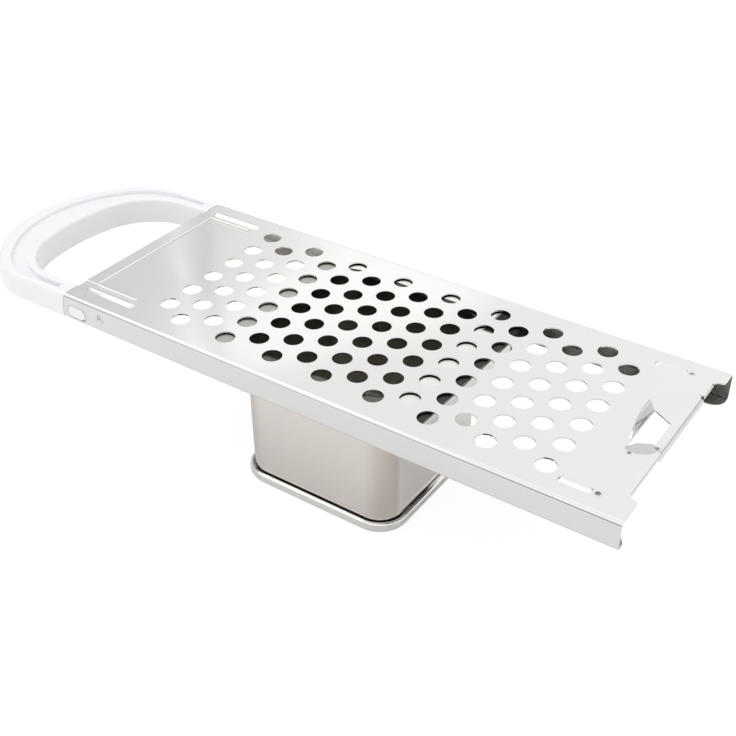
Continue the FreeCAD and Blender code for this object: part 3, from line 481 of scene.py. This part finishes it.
# --- studio -------------------------------------------------------------------------------
@dataclass(frozen=True)
class Lamp:
    """A soft box: where its middle is, how large it is and how bright its face looks.

    Two angles in degrees give the way to it from the aimed point, the azimuth clockwise
    from +Y as seen from above. Distance, width and height are in metres.
    """

    name: str
    azimuth: float
    elevation: float
    distance: float
    width: float
    height: float
    glow: float
    colour: str = "#FFFFFF"

    def build(self, aim: Vector) -> bpy.types.Object:
        """Make the lamp, facing a point.

        Args:
            aim: Point that the lamp faces.

        Returns:
            The lamp's object.
        """
        turn, rise = math.radians(self.azimuth), math.radians(self.elevation)
        out = Vector((math.sin(turn) * math.cos(rise), math.cos(turn) * math.cos(rise),
                      math.sin(rise)))
        data = bpy.data.lights.new(self.name, "AREA")
        data.shape = "RECTANGLE"
        data.size, data.size_y = self.width, self.height
        data.color = linear(self.colour)[:3]
        # a face of this area looks as bright as a white surface in full light at glow 1
        data.energy = self.glow * math.pi * self.width * self.height
        lamp = bpy.data.objects.new(self.name, data)
        bpy.context.scene.collection.objects.link(lamp)
        lamp.location = aim + out * self.distance
        lamp.rotation_mode = "QUATERNION"
        lamp.rotation_quaternion = out.to_track_quat("Z", "Y")
        return lamp


@dataclass(frozen=True)
class Band:
    """A soft-edged band of the room and the level that it adds.

    It comes in while one number crosses the first span, and goes out again while another
    crosses the second span backwards.
    """

    come: tuple[float, float]
    go: tuple[float, float]
    glow: float = 1.0

    def build(self, tree: bpy.types.NodeTree, coming: bpy.types.NodeSocket,
              going: bpy.types.NodeSocket) -> bpy.types.NodeSocket:
        """Make the level that the band adds.

        Args:
            tree: Node tree that gets the nodes.
            coming: The number that crosses the first span.
            going: The number that crosses the second span.

        Returns:
            The socket that carries the level.
        """
        come = add_node(tree, "ShaderNodeMapRange", {
            "Value": coming, "From Min": self.come[0], "From Max": self.come[1]},
            interpolation_type="SMOOTHSTEP")
        go = add_node(tree, "ShaderNodeMapRange", {
            "Value": going, "From Min": self.go[0], "From Max": self.go[1],
            "To Max": self.glow}, interpolation_type="SMOOTHSTEP")
        return add_node(tree, "ShaderNodeMath", {0: come.outputs[0], 1: go.outputs[0]},
                        operation="MULTIPLY").outputs[0]


@dataclass(frozen=True)
class Room:
    """What polished metal mirrors above the floor, as levels where 1 is white.

    The room is a little darker on the handle's side, falls off towards the horizon, and is
    dark low down at the front right. A tall pale screen stands behind the left of the
    object, with a narrow pale post and a darker one beside it, and a pale ring runs round
    the ceiling. Directions are given by their shares along X, along Y and upwards, the
    posts' by the first divided by the second, so that each is there on the far side too.
    """

    left: float = 0.80
    middle: float = 1.05
    right: float = 1.13
    left_way: float = -0.70
    middle_way: float = -0.52
    right_way: float = -0.12
    horizon: float = 0.5
    horizon_rise: float = 0.36
    front_level: float = 0.1
    front_low: float = 0.12
    front_rise: float = 0.44
    front: Band = Band((0.1, -0.4), (-0.52, -0.28))
    near_slant: float = 0.58
    far_slant: float = 1.08
    screen: Band = Band((-0.955, -0.925), (-1.2, -1.23), 0.22)
    posts: tuple[Band, ...] = (
        Band((-1.025, -1.003), (-0.981, -1.003), 0.2),
        Band((-0.985, -0.955), (-0.925, -0.955), -0.14),
    )
    ceiling: Band = Band((0.73, 0.79), (0.89, 0.85), 0.24)

    def build(self, tree: bpy.types.NodeTree) -> bpy.types.NodeSocket:
        """Make the level for each direction.

        Args:
            tree: Node tree that gets the nodes.

        Returns:
            The socket that carries the level.
        """
        way = add_node(tree, "ShaderNodeSeparateXYZ", {
            0: add_node(tree, "ShaderNodeTexCoord").outputs["Generated"]})
        along, across, up = way.outputs[0], way.outputs[1], way.outputs[2]
        walls = add_node(tree, "ShaderNodeMapRange", {
            "Value": along, "From Min": self.left_way, "From Max": self.middle_way,
            "To Min": self.left, "To Max": self.middle}, interpolation_type="SMOOTHSTEP")
        brighter = add_node(tree, "ShaderNodeMapRange", {
            "Value": along, "From Min": self.middle_way, "From Max": self.right_way,
            "To Max": self.right - self.middle}, interpolation_type="SMOOTHSTEP")
        # the screen's two upright edges lean in the mirror, so each has its own slant
        edges = []
        for slant in (self.near_slant, self.far_slant):
            lean = add_node(tree, "ShaderNodeMath", {0: across, 1: slant},
                            operation="MULTIPLY")
            edges.append(add_node(tree, "ShaderNodeMath", {0: along, 1: lean.outputs[0]},
                                  operation="SUBTRACT").outputs[0])
        turn = add_node(tree, "ShaderNodeMath", {0: along, 1: across},
                        operation="DIVIDE").outputs[0]
        extras = [brighter.outputs[0], self.screen.build(tree, edges[0], edges[1])]
        extras += [post.build(tree, turn, turn) for post in self.posts]
        extras.append(self.ceiling.build(tree, up, up))
        level = walls
        for extra in extras:
            level = add_node(tree, "ShaderNodeMath", {0: level.outputs[0], 1: extra},
                             operation="ADD")
        behind = add_node(tree, "ShaderNodeMapRange", {
            "Value": up, "From Min": 0.0, "From Max": self.horizon_rise,
            "To Min": self.horizon, "To Max": 1.0}, interpolation_type="SMOOTHSTEP")
        before = add_node(tree, "ShaderNodeMapRange", {
            "Value": up, "From Min": self.front_low, "From Max": self.front_rise,
            "To Min": self.front_level, "To Max": 1.0}, interpolation_type="SMOOTHSTEP")
        low = add_node(tree, "ShaderNodeMix", {
            SHARE: self.front.build(tree, across, along), NUMBER_A: behind.outputs[0],
            NUMBER_B: before.outputs[0]})
        return add_node(tree, "ShaderNodeMath", {0: level.outputs[0], 1: low.outputs[0]},
                        operation="MULTIPLY").outputs[0]


@dataclass
class Studio:
    """Pale floor, white surroundings and soft boxes.

    Lengths are in metres. The floor lies a hair under the hopper's rim, so that the two
    faces never fight for the same place.
    """

    floor_half: float = 6.0
    floor_drop: float = 0.0002
    paper: str = "#FAFAFA"
    paper_seen: str = "#868686"
    floor_lift: float = 0.86
    shade_reach: float = 0.07
    shade_span: tuple[float, float] = (0.1, 0.32)
    shade_samples: int = 16
    ambient: float = 0.9
    room: Room = Room()
    aim: Vector = field(default_factory=lambda: Vector((0.0, 0.0, 0.06)))
    lamps: tuple[Lamp, ...] = (
        Lamp("lamp_left", -105.0, 52.0, 1.8, 1.3, 0.8, 1.3),
        Lamp("lamp_overhead", 60.0, 80.0, 1.8, 0.7, 0.6, 0.8),
    )

    def build_world(self) -> None:
        """White surroundings: the room where it is seen, an even level where it lights."""
        world = bpy.data.worlds.new("white_room")
        bpy.context.scene.world = world
        world.use_nodes = True
        tree = world.node_tree
        tree.nodes.clear()
        level = add_node(tree, "ShaderNodeMix", {
            SHARE: self.seen(tree), NUMBER_A: self.ambient, NUMBER_B: self.room.build(tree)})
        shade = add_node(tree, "ShaderNodeBackground", {
            "Color": WHITE, "Strength": level.outputs[0]})
        add_node(tree, "ShaderNodeOutputWorld", {"Surface": shade.outputs[0]})

    def seen(self, tree: bpy.types.NodeTree) -> bpy.types.NodeSocket:
        """One where a ray comes from the camera, a mirror or glass, and zero elsewhere.

        Args:
            tree: Node tree that gets the nodes.

        Returns:
            The socket that carries the number.
        """
        path = add_node(tree, "ShaderNodeLightPath")
        first = add_node(tree, "ShaderNodeMath", {
            0: path.outputs["Is Camera Ray"], 1: path.outputs["Is Glossy Ray"]},
            operation="MAXIMUM")
        both = add_node(tree, "ShaderNodeMath", {
            0: first.outputs[0], 1: path.outputs["Is Transmission Ray"]},
            operation="MAXIMUM")
        return both.outputs[0]

    def build_floor(self) -> bpy.types.Object:
        """Make the floor: white paper that keeps the object's shadow, eased to the eye.

        Returns:
            The floor's object.
        """
        half = self.floor_half
        mesh = bpy.data.meshes.new("floor")
        mesh.from_pydata([(-half, -half, 0), (half, -half, 0), (half, half, 0),
                          (-half, half, 0)], [], [(0, 1, 2, 3)])
        floor = bpy.data.objects.new("floor", mesh)
        bpy.context.scene.collection.objects.link(floor)
        floor.location.z = -self.floor_drop
        material, tree = new_material("white_paper_floor")
        paper = add_node(tree, "ShaderNodeBsdfDiffuse", {"Color": linear(self.paper)})
        seen_paper = add_node(tree, "ShaderNodeBsdfDiffuse", {
            "Color": linear(self.paper_seen)})
        # under the hopper and the plate no light reaches the paper, so nothing lifts it
        open_sky = add_node(tree, "ShaderNodeAmbientOcclusion", {
            "Distance": self.shade_reach}, samples=self.shade_samples)
        lift = add_node(tree, "ShaderNodeMapRange", {
            "Value": open_sky.outputs["AO"], "From Min": self.shade_span[0],
            "From Max": self.shade_span[1], "To Min": 0.0, "To Max": self.floor_lift},
            interpolation_type="SMOOTHSTEP")
        glow = add_node(tree, "ShaderNodeEmission", {
            "Color": WHITE, "Strength": lift.outputs[0]})
        eased = add_node(tree, "ShaderNodeAddShader", {
            0: seen_paper.outputs[0], 1: glow.outputs[0]})
        path = add_node(tree, "ShaderNodeLightPath")
        both = add_node(tree, "ShaderNodeMixShader", {
            0: path.outputs["Is Camera Ray"], 1: paper.outputs[0], 2: eased.outputs[0]})
        add_node(tree, "ShaderNodeOutputMaterial", {"Surface": both.outputs[0]})
        mesh.materials.append(material)
        return floor

    def build(self) -> None:
        """Make the surroundings, the floor and the lamps."""
        self.build_world()
        LOG.info("laid the surroundings")
        self.build_floor()
        LOG.info("laid the floor")
        for lamp in self.lamps:
            lamp.build(self.aim)
            LOG.info("placed %s", lamp.name)
        bpy.context.scene.view_settings.view_transform = "Standard"


@dataclass(frozen=True)
class Viewpoint:
    """The camera: its place, the way it looks, which way is right for it, and its lens.

    The place and the clip distances are in metres, the lens and the sensor in mm.
    """

    place: tuple[float, float, float] = (0.2478, -0.3170, 0.3149)
    forward: tuple[float, float, float] = (-0.46693, 0.67551, -0.57067)
    right: tuple[float, float, float] = (0.82485, 0.56532, -0.00573)
    lens: float = 56.45
    sensor: float = 36.0
    clip_near: float = 0.01
    clip_far: float = 50.0

    def build(self) -> bpy.types.Object:
        """Make the camera and make it the scene's own.

        Returns:
            The camera's object.
        """
        data = bpy.data.cameras.new("camera")
        data.lens, data.sensor_width = self.lens, self.sensor
        data.sensor_fit = "HORIZONTAL"
        data.clip_start, data.clip_end = self.clip_near, self.clip_far
        camera = bpy.data.objects.new("camera", data)
        back = -Vector(self.forward).normalized()
        side = Vector(self.right)
        side = (side - back * side.dot(back)).normalized()
        turn = Matrix((side, back.cross(side), back)).transposed()
        camera.matrix_world = Matrix.Translation(self.place) @ turn.to_4x4()
        bpy.context.scene.collection.objects.link(camera)
        bpy.context.scene.camera = camera
        return camera


def main() -> None:
    """Load the frame, build each sub-assembly, the studio and the camera."""
    logging.basicConfig(level=logging.INFO, format="%(name)s: %(message)s")
    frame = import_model()
    Viewpoint().build()
    LOG.info("placed the camera")
    Studio().build()
    PlateAssembly().build(frame["nodes"])
    HopperAssembly().build(frame["nodes"])


if __name__ == "__main__":
    main()
